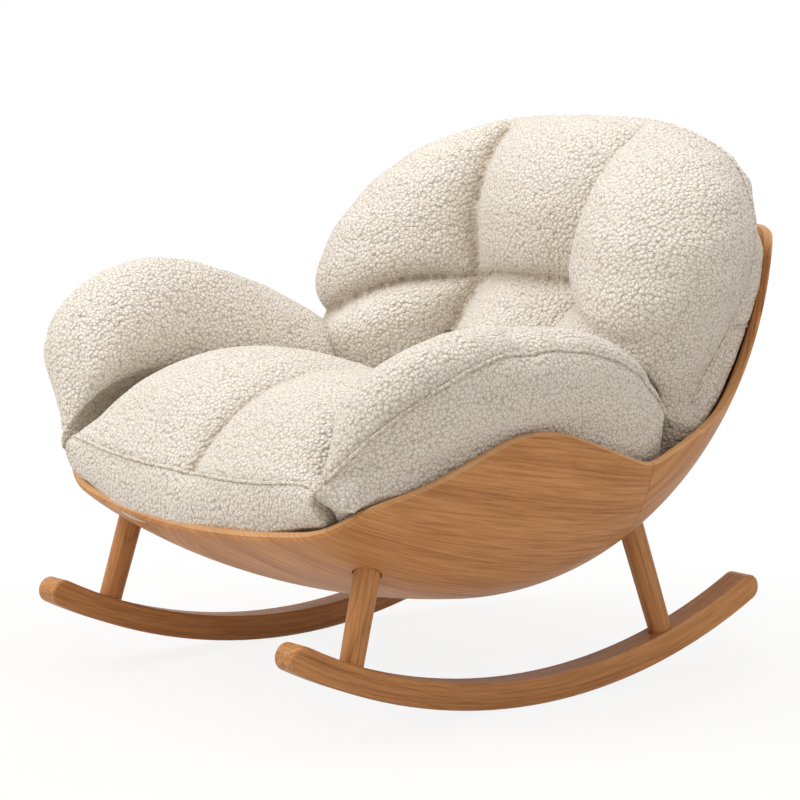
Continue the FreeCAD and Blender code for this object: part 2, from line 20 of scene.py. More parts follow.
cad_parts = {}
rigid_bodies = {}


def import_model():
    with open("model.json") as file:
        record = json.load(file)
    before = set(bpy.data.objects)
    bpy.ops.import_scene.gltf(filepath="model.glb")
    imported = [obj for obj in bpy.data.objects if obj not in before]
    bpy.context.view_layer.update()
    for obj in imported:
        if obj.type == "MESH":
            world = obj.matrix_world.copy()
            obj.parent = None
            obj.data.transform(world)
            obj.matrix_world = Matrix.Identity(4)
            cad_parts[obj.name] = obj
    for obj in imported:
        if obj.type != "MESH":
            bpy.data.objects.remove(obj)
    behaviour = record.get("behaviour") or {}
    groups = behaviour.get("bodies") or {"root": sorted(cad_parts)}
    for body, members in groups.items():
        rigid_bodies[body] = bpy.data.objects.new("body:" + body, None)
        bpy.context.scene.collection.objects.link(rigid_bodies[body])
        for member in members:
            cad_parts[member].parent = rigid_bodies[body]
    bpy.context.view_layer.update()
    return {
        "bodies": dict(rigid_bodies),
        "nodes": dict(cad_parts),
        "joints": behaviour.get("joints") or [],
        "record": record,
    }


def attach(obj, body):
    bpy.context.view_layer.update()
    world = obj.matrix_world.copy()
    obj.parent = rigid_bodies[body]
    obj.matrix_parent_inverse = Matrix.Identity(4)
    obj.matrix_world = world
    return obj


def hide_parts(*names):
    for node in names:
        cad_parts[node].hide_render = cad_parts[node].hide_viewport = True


LOG = logging.getLogger("rocking_chair")
BODY = "root"
# Mesh attribute that carries the painted shade in the cushions' creases and seams.
CREASE_SHADE = "crease"
MERGE = 1e-6
TINY = 1e-9

Colour = tuple[float, float, float, float]
Point = tuple[float, float, float]
Pair = tuple[float, float]
Objects = dict[str, bpy.types.Object]

WHITE: Colour = (1.0, 1.0, 1.0, 1.0)


class Side(Enum):
    """Left or right of the chair, by the sign of X."""

    LEFT = -1
    RIGHT = 1


class Grain(Enum):
    """Which way an oak piece's grain runs."""

    SIDE = "along the bowl's side panels"
    BACK = "up the bowl's back panel"
    RUNNER = "along the runner's bend"
    LEG = "up the leg"


class Term:
    """A shader value whose operators add Math nodes."""

    def __init__(self, shader: "Nodes", socket: bpy.types.NodeSocket) -> None:
        """Keep the shader and the socket that carries the value."""
        self.shader = shader
        self.socket = socket

    def math(self, operation: str, first: object, second: object = None) -> "Term":
        """Add one Math node.

        Args:
            operation: the Math node's operation.
            first: its first operand, a Term or a number.
            second: its second operand, where it has one.

        Returns:
            The node's result.
        """
        values = {0: first} if second is None else {0: first, 1: second}
        return self.shader.add("ShaderNodeMath", {"operation": operation}, values)

    def __add__(self, other: object) -> "Term":
        """Sum."""
        return self.math("ADD", self, other)

    __radd__ = __add__

    def __sub__(self, other: object) -> "Term":
        """Difference."""
        return self.math("SUBTRACT", self, other)

    def __rsub__(self, other: object) -> "Term":
        """Reflected difference."""
        return self.math("SUBTRACT", other, self)

    def __mul__(self, other: object) -> "Term":
        """Product."""
        return self.math("MULTIPLY", self, other)

    __rmul__ = __mul__

    def __pow__(self, other: object) -> "Term":
        """Power."""
        return self.math("POWER", self, other)

    def sine(self) -> "Term":
        """Sine of an angle in radians."""
        return self.math("SINE", self)

    def size(self) -> "Term":
        """Value without its sign."""
        return self.math("ABSOLUTE", self)

    def between(self, low: float, high: float) -> "Term":
        """Share of the way from low to high, smooth and kept within 0 and 1."""
        settings = {"interpolation_type": "SMOOTHSTEP"}
        values = {"Value": self, "From Min": low, "From Max": high}
        return self.shader.add("ShaderNodeMapRange", settings, values)


class Nodes:
    """A node tree under construction."""

    def __init__(self, tree: bpy.types.NodeTree) -> None:
        """Keep the tree."""
        self.tree = tree

    def add(self, kind: str, settings: dict | None = None, values: dict | None = None,
            result: object = 0) -> Term:
        """Add one node.

        Args:
            kind: the node's type.
            settings: its own properties, with stops for a ramp's positions and colours.
            values: numbers, colours or Terms for its sockets, by name or place.
            result: name or place of the socket that carries the result.

        Returns:
            The node's result.
        """
        node = self.tree.nodes.new(kind)
        for key, setting in (settings or {}).items():
            if key == "stops":
                self.set_stops(node.color_ramp, setting)
            else:
                setattr(node, key, setting)
        for key, value in (values or {}).items():
            self.feed(node.inputs[key], value)
        return Term(self, node.outputs[result])

    def set_stops(self, ramp: bpy.types.ColorRamp, stops: list[tuple[float, Colour]]) -> None:
        """Give a colour ramp its stops."""
        while len(ramp.elements) < len(stops):
            ramp.elements.new(1.0)
        for element, (place, colour) in zip(ramp.elements, stops):
            element.position = place
            element.color = colour

    def feed(self, socket: bpy.types.NodeSocket, value: object) -> None:
        """Link a Term to a socket, or set the socket's number or colour."""
        if isinstance(value, Term):
            self.tree.links.new(value.socket, socket)
        else:
            socket.default_value = value

    def mix(self, share: object, first: object, second: object) -> Term:
        """Mix of two colours by a share."""
        return self.add("ShaderNodeMix", {"data_type": "RGBA"}, {0: share, 6: first, 7: second}, 2)

    def seen(self) -> Term:
        """1 on rays from the camera and on those that gloss or glass sends on, else 0."""
        rays = self.add("ShaderNodeLightPath").socket.node.outputs
        straight, glossy, clear = (Term(self, rays[name]) for name in
                                   ("Is Camera Ray", "Is Glossy Ray", "Is Transmission Ray"))
        return (straight + glossy + clear).between(0.0, 1.0)


class Shader(Nodes):
    """One material under construction."""

    def __init__(self, name: str) -> None:
        """Start a material with a Principled surface."""
        self.material = bpy.data.materials.new(name)
        self.material.use_nodes = True
        super().__init__(self.material.node_tree)
        self.surface = self.tree.nodes["Principled BSDF"]
        self.output = self.tree.nodes["Material Output"]

    def dress(self, **values: object) -> None:
        """Set sockets of the Principled surface, with underscores for the spaces in their names."""
        for key, value in values.items():
            self.feed(self.surface.inputs[key.replace("_", " ")], value)

    def place(self) -> Term:
        """Object coordinates, which are the chair's own."""
        return self.add("ShaderNodeTexCoord", result="Object")

    def parts(self, vector: Term) -> tuple[Term, Term, Term]:
        """X, Y and Z of a vector."""
        node = self.add("ShaderNodeSeparateXYZ", values={0: vector}).socket.node
        return tuple(Term(self, socket) for socket in node.outputs)

    def vector(self, x: object, y: object, z: object) -> Term:
        """Vector from three values."""
        return self.add("ShaderNodeCombineXYZ", values={0: x, 1: y, 2: z})

    def noise(self, place: Term, scale: float, detail: float = 2.0, result: object = 0) -> Term:
        """Noise over a vector."""
        values = {"Vector": place, "Scale": scale, "Detail": detail}
        return self.add("ShaderNodeTexNoise", {}, values, result)

    def bump(self, height: Term, distance: float, strength: float = 1.0) -> Term:
        """Normal bent by a height."""
        values = {"Height": height, "Distance": distance, "Strength": strength}
        return self.add("ShaderNodeBump", {}, values, "Normal")


@dataclass(frozen=True)
class Boucle:
    """Cream looped wool: small curled nubs with tan between them, and painted shade down in the creases."""

    crest: Colour = (0.84, 0.788, 0.718, 1.0)
    pit: Colour = (0.58, 0.495, 0.395, 1.0)
    # Dark tan of the painted shade in the creases.
    painted_crease_shade: Colour = (0.46, 0.37, 0.27, 1.0)
    crease_shade_share: float = 0.75
    drift_scale: float = 200.0
    drift: float = 0.004
    nub_scale: float = 175.0
    nub_fall: float = 1.5
    nub_height: float = 0.8
    loop_scale: float = 620.0
    loop_height: float = 0.2
    shade_scale: float = 9.0
    line: float = 0.12
    line_tone: float = 0.85
    loop_tone: float = 0.24
    shade_tone: float = 0.2
    tone_drop: float = 0.14
    relief: float = 0.0034
    roughness: float = 0.95
    specular: float = 0.2
    sheen: float = 0.25
    sheen_roughness: float = 0.5

    def drifted(self, cloth: Shader) -> Term:
        """Object coordinates, pushed about a little so that no two nubs are alike."""
        place = cloth.place()
        wander = cloth.noise(place, self.drift_scale, 1.0, "Color")
        centred = cloth.add("ShaderNodeVectorMath", {"operation": "SUBTRACT"},
                            {0: wander, 1: (0.5, 0.5, 0.5)})
        moved = cloth.add("ShaderNodeVectorMath", {"operation": "SCALE"}, {0: centred, "Scale": self.drift})
        return cloth.add("ShaderNodeVectorMath", {"operation": "ADD"}, {0: place, 1: moved})

    def material(self) -> bpy.types.Material:
        """Make the cloth.

        Returns:
            The finished material.
        """
        cloth = Shader("boucle")
        place = self.drifted(cloth)
        cells = {"Vector": place, "Scale": self.nub_scale}
        middle = cloth.add("ShaderNodeTexVoronoi", {"feature": "F1"}, cells)
        edge = cloth.add("ShaderNodeTexVoronoi", {"feature": "DISTANCE_TO_EDGE"}, cells)
        loops = cloth.noise(place, self.loop_scale, 3.0)
        height = (1.0 - middle * middle * self.nub_fall) * self.nub_height + loops * self.loop_height
        shade = cloth.noise(place, self.shade_scale, 3.0)
        tone = edge.between(0.0, self.line) * self.line_tone + loops * self.loop_tone
        share = tone + shade * self.shade_tone - self.tone_drop
        # Painted shade: the crease attribute darkens the cloth where cushions meet and along sewn folds and
        # welts.
        crease = cloth.add("ShaderNodeAttribute", {"attribute_name": CREASE_SHADE}, result="Fac")
        nap = cloth.mix(share.between(0.0, 1.0), self.pit, self.crest)
        colour = cloth.mix(crease * self.crease_shade_share, nap, self.painted_crease_shade)
        cloth.dress(Base_Color=colour, Roughness=self.roughness, Normal=cloth.bump(height, self.relief),
                    Sheen_Weight=self.sheen, Sheen_Roughness=self.sheen_roughness,
                    Specular_IOR_Level=self.specular)
        return cloth.material


@dataclass(frozen=True)
class Oak:
    """Oiled honey oak with growth bands, pores and a soft gloss.

    A figure's scale is how often it changes in a metre along the grain and across it.
    """

    grain: Grain
    light: Colour = (0.580, 0.275, 0.100, 1.0)
    middle: Colour = (0.440, 0.188, 0.060, 1.0)
    dark: Colour = (0.200, 0.075, 0.021, 1.0)
    # Lighter colour of the painted highlight on the bowl's upward-facing faces.
    edge: Colour = (0.72, 0.42, 0.20, 1.0)
    ramp: tuple[float, float, float] = (0.1, 0.5, 0.95)
    side_slope: float = 0.19
    side_turn: float = 0.6
    back_slope: float = 0.05
    leg_lean: float = 0.07
    leg_rake: float = 0.28
    rear_rake: float = 0.60
    bend_height: float = 0.9156
    bend_radius: float = 0.9
    sway_scale: Pair = (2.2, 6.0)
    band_scale: Pair = (1.3, 30.0)
    streak_scale: Pair = (11.0, 230.0)
    pore_scale: Pair = (40.0, 900.0)
    ring_rate: float = 210.0
    ring_depth: float = 80.0
    ring_sway: float = 22.0
    ring_sharp: float = 4.0
    ring_spread: Pair = (0.38, 0.62)
    band_spread: Pair = (0.3, 0.72)
    streak_spread: Pair = (0.28, 0.72)
    pore_spread: Pair = (0.56, 0.70)
    band_tone: float = 0.26
    streak_tone: float = 0.44
    ring_tone: float = 0.30
    pore_base: float = 0.45
    pore_ring: float = 0.55
    pore_dark: float = 0.7
    rim_highlight_spread: Pair = (0.25, 0.75)
    rim_highlight_share: float = 0.55
    panel_joint: float = 0.132
    joint_half: float = 0.0009
    joint_dark: float = 0.75
    lamina_start: float = 0.878
    lamina: float = 0.0094
    lamina_line: float = 0.10
    lamina_dark: float = 0.4
    roughness: float = 0.42
    streak_rough: float = 0.12
    pore_rough: float = 0.1
    streak_deep: float = 0.15
    pore_deep: float = 0.7
    relief: float = 0.0004
    relief_strength: float = 0.6
    specular: float = 0.3

    def chart(self, wood: Shader) -> tuple[Term, Term, object]:
        """Lengths along the grain, across it and through it.

        Args:
            wood: the material that they are for.

        Returns:
            The three lengths in metres.
        """
        x, y, z = wood.parts(wood.place())
        if self.grain is Grain.LEG:
            rear = y.math("GREATER_THAN", y, 0.0)
            return z, x.size() + z * self.leg_lean, y - z * (self.leg_rake - rear * self.rear_rake)
        if self.grain is Grain.RUNNER:
            below = self.bend_height - z
            return y.math("ARCTAN2", y, below) * self.bend_radius, (y * y + below * below) ** 0.5, x
        if self.grain is Grain.BACK:
            return z, x + z * self.back_slope, 0.0
        return y, z + y * self.side_slope + x.size() * self.side_turn, 0.0

    def figure(self, wood: Shader, chart: tuple[Term, Term, object], scale: Pair, detail: float) -> Term:
        """Noise drawn out along the grain.

        Args:
            wood: the material that it is for.
            chart: lengths along the grain, across it and through it.
            scale: changes in a metre along the grain and across it.
            detail: how fine the noise is.

        Returns:
            The noise.
        """
        along, across, through = chart
        place = wood.vector(along * scale[0], across * scale[1], through * scale[1])
        return wood.noise(place, 1.0, detail)

    def laminated(self, wood: Shader, colour: Term, across: Term) -> Term:
        """Colour with the dark glue lines between the runner's laminations."""
        joint = ((across - self.lamina_start) * (math.pi / self.lamina)).sine().size()
        return wood.mix((1.0 - joint.between(0.0, self.lamina_line)) * self.lamina_dark, colour, self.dark)

    def rim_highlight_and_joint(self, wood: Shader, colour: Term) -> Term:
        """Colour with a painted highlight on the bowl's upward-facing faces and the dark line of the panels'
        joint.
        """
        faces = wood.add("ShaderNodeNewGeometry", result="Normal")
        up = wood.parts(faces)[2]
        y = wood.parts(wood.place())[1]
        line = 1.0 - (y - self.panel_joint).size().between(0.0, self.joint_half)
        # Painted highlight: faces that point up turn lighter, as the light from above falls on them.
        pale = wood.mix(up.between(*self.rim_highlight_spread) * self.rim_highlight_share, colour, self.edge)
        return wood.mix(line * self.joint_dark, pale, self.dark)

    def material(self) -> bpy.types.Material:
        """Make the wood.

        Returns:
            The finished material.
        """
        wood = Shader("oak_" + self.grain.name.lower())
        chart = self.chart(wood)
        _, across, through = chart
        sway = self.figure(wood, chart, self.sway_scale, 2.0)
        bands = self.figure(wood, chart, self.band_scale, 3.0)
        streak = self.figure(wood, chart, self.streak_scale, 4.0)
        pores = self.figure(wood, chart, self.pore_scale, 2.0)
        rings = (across * self.ring_rate + through * self.ring_depth + sway * self.ring_sway).sine().size()
        line = (1.0 - rings) ** self.ring_sharp * sway.between(*self.ring_spread)
        pore = pores.between(*self.pore_spread) * (self.pore_base + line * self.pore_ring)
        tone = (bands.between(*self.band_spread) * self.band_tone
                + streak.between(*self.streak_spread) * self.streak_tone + line * self.ring_tone)
        stops = list(zip(self.ramp, (self.light, self.middle, self.dark)))
        base = wood.add("ShaderNodeValToRGB", {"stops": stops}, {0: tone})
        colour = wood.mix(pore * self.pore_dark, base, self.dark)
        if self.grain is Grain.RUNNER:
            colour = self.laminated(wood, colour, across)
        if self.grain in (Grain.SIDE, Grain.BACK):
            colour = self.rim_highlight_and_joint(wood, colour)
        height = 1.0 - pore * self.pore_deep - streak * self.streak_deep
        wood.dress(Base_Color=colour, Normal=wood.bump(height, self.relief, self.relief_strength),
                   Roughness=self.roughness + streak * self.streak_rough + pore * self.pore_rough,
                   Specular_IOR_Level=self.specular)
        return wood.material


@dataclass(frozen=True)
class Hidden:
    """Plain finish of a piece inside the chair: a colour with fine mottling."""

    name: str
    low: Colour
    high: Colour
    scale: float
    roughness: float
    metallic: float = 0.0
    spread: Pair = (0.3, 0.7)
    rough_change: float = 0.1
    relief: float = 0.0003
    relief_strength: float = 0.5

    def material(self) -> bpy.types.Material:
        """Make the finish.

        Returns:
            The finished material.
        """
        plain = Shader(self.name)
        grain = plain.noise(plain.place(), self.scale, 4.0)
        colour = plain.mix(grain.between(*self.spread), self.low, self.high)
        plain.dress(Base_Color=colour, Metallic=self.metallic,
                    Roughness=self.roughness + grain * self.rough_change,
                    Normal=plain.bump(grain, self.relief, self.relief_strength))
        return plain.material


def read_points(mesh: bpy.types.Mesh) -> np.ndarray:
    """Places of a mesh's vertices as an array."""
    points = np.empty(len(mesh.vertices) * 3, np.float32)
    mesh.vertices.foreach_get("co", points)
    return points.reshape(-1, 3).astype(float)


def read_normals(mesh: bpy.types.Mesh) -> np.ndarray:
    """Outward directions at a mesh's vertices as an array."""
    normals = np.empty(len(mesh.vertices) * 3, np.float32)
    mesh.vertex_normals.foreach_get("vector", normals)
    return normals.reshape(-1, 3).astype(float)


def write_points(mesh: bpy.types.Mesh, points: np.ndarray) -> None:
    """Move a mesh's vertices."""
    mesh.vertices.foreach_set("co", points.astype(np.float32).ravel())
    mesh.update()


def linked(name: str, mesh: bpy.types.Mesh) -> bpy.types.Object:
    """New object in the scene."""
    piece = bpy.data.objects.new(name, mesh)
    bpy.context.scene.collection.objects.link(piece)
    return piece


def applied(piece: bpy.types.Object) -> None:
    """Fix a piece's modifiers into its mesh."""
    graph = bpy.context.evaluated_depsgraph_get()
    mesh = bpy.data.meshes.new_from_object(piece.evaluated_get(graph))
    piece.modifiers.clear()
    piece.data = mesh


def smooth(mesh: bpy.types.Mesh) -> None:
    """Shade a mesh without facets."""
    mesh.polygons.foreach_set("use_smooth", [True] * len(mesh.polygons))
    mesh.update()


def surface_of(node: bpy.types.Object) -> BVHTree:
    """Search tree over a node's faces, also where the node is hidden."""
    mesh = node.data
    points = [vert.co for vert in mesh.vertices]
    faces = [tuple(face.vertices) for face in mesh.polygons]
    return BVHTree.FromPolygons(points, faces)


def nearest(samples: np.ndarray, points: np.ndarray) -> np.ndarray:
    """Distance from each point to the nearest sample."""
    tree = KDTree(len(samples))
    for index, sample in enumerate(samples):
        tree.insert(sample, index)
    tree.balance()
    return np.array([tree.find(point)[2] for point in points])


def deepen_painted_shade(mesh: bpy.types.Mesh, painted_shade: np.ndarray) -> None:
    """Raise a mesh's painted crease shade to a new one where the new one is stronger."""
    marks = mesh.attributes[CREASE_SHADE].data
    values = np.empty(len(painted_shade), np.float32)
    marks.foreach_get("value", values)
    marks.foreach_set("value", np.maximum(values, painted_shade).astype(np.float32))


@dataclass(frozen=True)
class Swell:
    """A place where a cushion is fuller, or flatter, than the frame's cover."""

    centre: Point
    reach: Point
    shift: Point

    def moved(self, points: np.ndarray) -> np.ndarray:
        """Points shifted by their nearness to the place."""
        away = (points - np.array(self.centre)) / np.array(self.reach)
        return points + np.exp(-(away ** 2).sum(axis=1))[:, None] * np.array(self.shift)


@dataclass
class Pad:
    """One stuffed cushion, blown up by cloth simulation from the cover that the frame holds.

    The hard and soft nodes lie against it, and the folds between sewn_low and sewn_high are sewn into it.
    Its valleys run where it meets soft nodes, and its flanks are stuffed out to the walls where it has any.
    """

    piece: str
    cover: str
    core: str
    hard: tuple[str, ...]
    soft: tuple[str, ...]
    swells: tuple[Swell, ...] = ()
    sewn_low: Point = (0.0, 0.0, 0.0)
    sewn_high: Point = (0.0, 0.0, 0.0)
    fill: float = 0.75
    voxel: float = 0.0068
    shrink: float = 0.003
    pressure: float = 8.0
    quality: int = 5
    cap: float = 0.022
    frames: int = 20
    contact: float = 0.009
    core_gap: float = 0.0015
    fold: float = 24.0
    sample: float = 0.002
    no_fold: Point = (0.0, 0.0, -1.0)
    hold: float = 0.007
    crease_depth: float = 0.011
    crease_reach: float = 0.007
    crease_shade_reach: float = 0.008
    valley_depth: float = 0.014
    valley_reach: float = 0.014
    valley_floor: float = 0.335
    valley_rise: float = 0.04
    walls: tuple[str, ...] = ()
    stuff_way: Pair = (0.62, 0.784)
    stuff_facing: float = 0.05
    stuff_from: float = 0.18
    stuff_rounds: int = 10
    stuff_limit: float = 0.075
    stuff_gap: float = 0.004
    far: float = 0.04
    ease_rounds: int = 3
    ease: float = 0.5
    finish_rounds: int = 2
    finish_ease: float = 0.35

    def outer_skin(self, nodes: Objects) -> tuple[bpy.types.Object, np.ndarray]:
        """Copy the outside of the cover, closed over the hollow for its core.

        Args:
            nodes: the frame's objects.

        Returns:
            A new object with the outside alone, and points along the folds sewn into it.
        """
        work = bmesh.new()
        work.from_mesh(nodes[self.cover].data)
        bmesh.ops.remove_doubles(work, verts=work.verts, dist=MERGE)
        away = self.gaps(np.array([vert.co for vert in work.verts]), (self.core,), nodes)
        hollow = {vert for vert, gap in zip(work.verts, away) if gap < self.core_gap}
        inside = [face for face in work.faces if all(vert in hollow for vert in face.verts)]
        bmesh.ops.delete(work, geom=inside, context="FACES")
        bmesh.ops.holes_fill(work, edges=work.edges, sides=0)
        folds = [edge for edge in work.edges if edge.is_manifold
                 and edge.calc_face_angle_signed() < -math.radians(self.fold)]
        spots = [Vector(self.no_fold)]
        for edge in folds:
            first, last = (vert.co for vert in edge.verts)
            steps = max(1, round((last - first).length / self.sample))
            spots += [first.lerp(last, step / steps) for step in range(steps + 1)]
        spots = np.array(spots)
        sewn = np.all((spots > self.sewn_low) & (spots < self.sewn_high), axis=1)
        sewn[0] = True
        mesh = bpy.data.meshes.new(self.piece)
        work.to_mesh(mesh)
        work.free()
        LOG.info("%s: %d hollow faces closed, %d folds", self.piece, len(inside), len(folds))
        return linked(self.piece, mesh), spots[sewn]

    def remesh(self, pad: bpy.types.Object) -> None:
        """Rebuild a pad's surface from small even squares."""
        squares = pad.modifiers.new("Remesh", "REMESH")
        squares.mode = "VOXEL"
        squares.voxel_size = self.voxel
        applied(pad)

    def averaged(self, mesh: bpy.types.Mesh, points: np.ndarray) -> np.ndarray:
        """Mean of each point's neighbours."""
        ends = np.empty(len(mesh.edges) * 2, np.int32)
        mesh.edges.foreach_get("vertices", ends)
        ends = ends.reshape(-1, 2)
        total = np.zeros_like(points)
        count = np.zeros(len(points))
        for near, far in ((0, 1), (1, 0)):
            for axis in range(3):
                total[:, axis] += np.bincount(ends[:, near], points[ends[:, far], axis], len(points))
            count += np.bincount(ends[:, near], minlength=len(points))
        return total / np.maximum(count, 1)[:, None]

    def relaxed(self, mesh: bpy.types.Mesh, points: np.ndarray, rounds: int, share: object) -> np.ndarray:
        """Points drawn towards their neighbours' mean, by a share for all or for each."""
        for _ in range(rounds):
            points = points + (self.averaged(mesh, points) - points) * share
        return points

    def gaps(self, points: np.ndarray, names: tuple[str, ...], nodes: Objects) -> np.ndarray:
        """Distance from each point to the nearest of some nodes, up to the far limit.

        Args:
            points: the points.
            names: the nodes' names.
            nodes: the frame's objects.

        Returns:
            One distance for each point.
        """
        least = np.full(len(points), self.far)
        for name in names:
            tree = surface_of(nodes[name])
            for index, point in enumerate(points):
                found = tree.find_nearest(point, least[index])[3]
                if found is not None:
                    least[index] = found
        return least

    def laid(self, pad: bpy.types.Object, spots: np.ndarray) -> np.ndarray:
        """Points of the pad's surface nearest to some spots, after the first, which stays away from it."""
        bpy.context.view_layer.update()
        tree = BVHTree.FromObject(pad, bpy.context.evaluated_depsgraph_get())
        return np.array([spots[0]] + [tree.find_nearest(spot)[0] for spot in spots[1:]])

    def inflate(self, pad: bpy.types.Object, held: np.ndarray) -> np.ndarray:
        """Blow a pad up with its creases and hidden faces held.

        Args:
            pad: the pad.
            held: which of its points are held.

        Returns:
            The new places of its points.
        """
        group = pad.vertex_groups.new(name="held")
        group.add(np.flatnonzero(held).tolist(), 1.0, "REPLACE")
        cloth = pad.modifiers.new("Cloth", "CLOTH")
        cloth.point_cache.frame_end = self.frames
        cloth.collision_settings.use_collision = False
        settings = cloth.settings
        settings.quality = self.quality
        settings.vertex_group_mass = group.name
        settings.use_pressure = True
        settings.uniform_pressure_force = self.pressure
        settings.effector_weights.gravity = 0.0
        scene = bpy.context.scene
        for frame in range(1, self.frames + 1):
            scene.frame_set(frame)
        blown = read_points(pad.evaluated_get(bpy.context.evaluated_depsgraph_get()).data)
        pad.modifiers.clear()
        pad.vertex_groups.clear()
        scene.frame_set(1)
        return blown

    def blow(self, pad: bpy.types.Object, folds: np.ndarray, nodes: Objects) -> None:
        """Fill a pad out between its creases.

        Args:
            pad: the pad, with its even squares.
            folds: points along its creases.
            nodes: the frame's objects.
        """
        mesh = pad.data
        start = self.relaxed(mesh, read_points(mesh), self.ease_rounds, self.ease)
        write_points(mesh, start)
        near = self.gaps(start, self.soft, nodes)
        free = np.minimum(near, self.gaps(start, self.hard, nodes)) > self.contact
        sewn = nearest(self.laid(pad, folds), start) < self.hold
        write_points(mesh, start - read_normals(mesh) * (self.shrink * free * ~sewn)[:, None])
        step = self.inflate(pad, ~free | sewn) - start
        length = np.linalg.norm(step, axis=1)
        step *= np.minimum(1.0, self.cap / np.maximum(length, TINY))[:, None]
        share = self.ease * (free & ~sewn)[:, None]
        write_points(mesh, self.relaxed(mesh, start + step, self.ease_rounds, share))
        if self.walls:
            self.stuff(mesh, nodes)
        level = np.clip((read_points(mesh)[:, 2] - self.valley_floor) / self.valley_rise, 0.0, 1.0)
        valley = np.exp(-near / self.valley_reach) * level
        write_points(mesh, read_points(mesh) - read_normals(mesh) * (self.valley_depth * valley)[:, None])
        # Painted shade: the cloth is darker near where the pad meets the soft nodes.
        painted_shade = mesh.attributes.new(CREASE_SHADE, "FLOAT", "POINT")
        painted_shade.data.foreach_set("value", np.exp(-near / self.crease_shade_reach).astype(np.float32))

    def stuff(self, mesh: bpy.types.Mesh, nodes: Objects) -> None:
        """Fill the room between a pad's flanks and the walls beside them.

        Args:
            mesh: the pad's mesh.
            nodes: the frame's objects.
        """
        points = read_points(mesh)
        ways = np.column_stack((np.sign(points[:, 0]) * self.stuff_way[0],
                                np.full(len(points), self.stuff_way[1]), np.zeros(len(points))))
        moves = np.zeros_like(points)
        facing = np.einsum("ij,ij->i", ways, read_normals(mesh)) > self.stuff_facing
        flank = np.flatnonzero(facing & (np.abs(points[:, 0]) > self.stuff_from))
        for name in self.walls:
            tree = surface_of(nodes[name])
            for index in flank:
                room = tree.ray_cast(points[index], ways[index], self.stuff_limit)[3]
                if room is not None and room > self.stuff_gap:
                    moves[index] = ways[index] * (room - self.stuff_gap)
        write_points(mesh, points + self.relaxed(mesh, moves, self.stuff_rounds, self.ease))

    def sew(self, pad: bpy.types.Object, folds: np.ndarray) -> None:
        """Draw a pad in along its creases and paint shade along them into the cloth's colour.

        Args:
            pad: the pad with its fine mesh.
            folds: points along its creases.
        """
        mesh = pad.data
        points = read_points(mesh)
        away = nearest(self.laid(pad, folds), points)
        points -= read_normals(mesh) * (self.crease_depth * np.exp(-away / self.crease_reach))[:, None]
        points = self.relaxed(mesh, points, self.finish_rounds, self.finish_ease)
        for swell in self.swells:
            points = swell.moved(points)
        write_points(mesh, points)
        # Painted shade along the sewn creases.
        deepen_painted_shade(mesh, np.exp(-away / self.crease_shade_reach))

    def build(self, frame: dict, cloth: bpy.types.Material) -> bpy.types.Object:
        """Make the cushion.

        Args:
            frame: the loaded frame.
            cloth: the cover's material.

        Returns:
            The finished piece.
        """
        nodes = frame["nodes"]
        pad, folds = self.outer_skin(nodes)
        self.remesh(pad)
        self.blow(pad, folds, nodes)
        finer = pad.modifiers.new("Subdivision", "SUBSURF")
        finer.levels = 1
        finer.render_levels = 1
        applied(pad)
        self.sew(pad, folds)
        smooth(pad.data)
        pad.data.materials.clear()
        pad.data.materials.append(cloth)
        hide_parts(self.cover, self.core)
        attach(pad, BODY)
        LOG.info("%s: %d squares", self.piece, len(pad.data.polygons))
        return pad


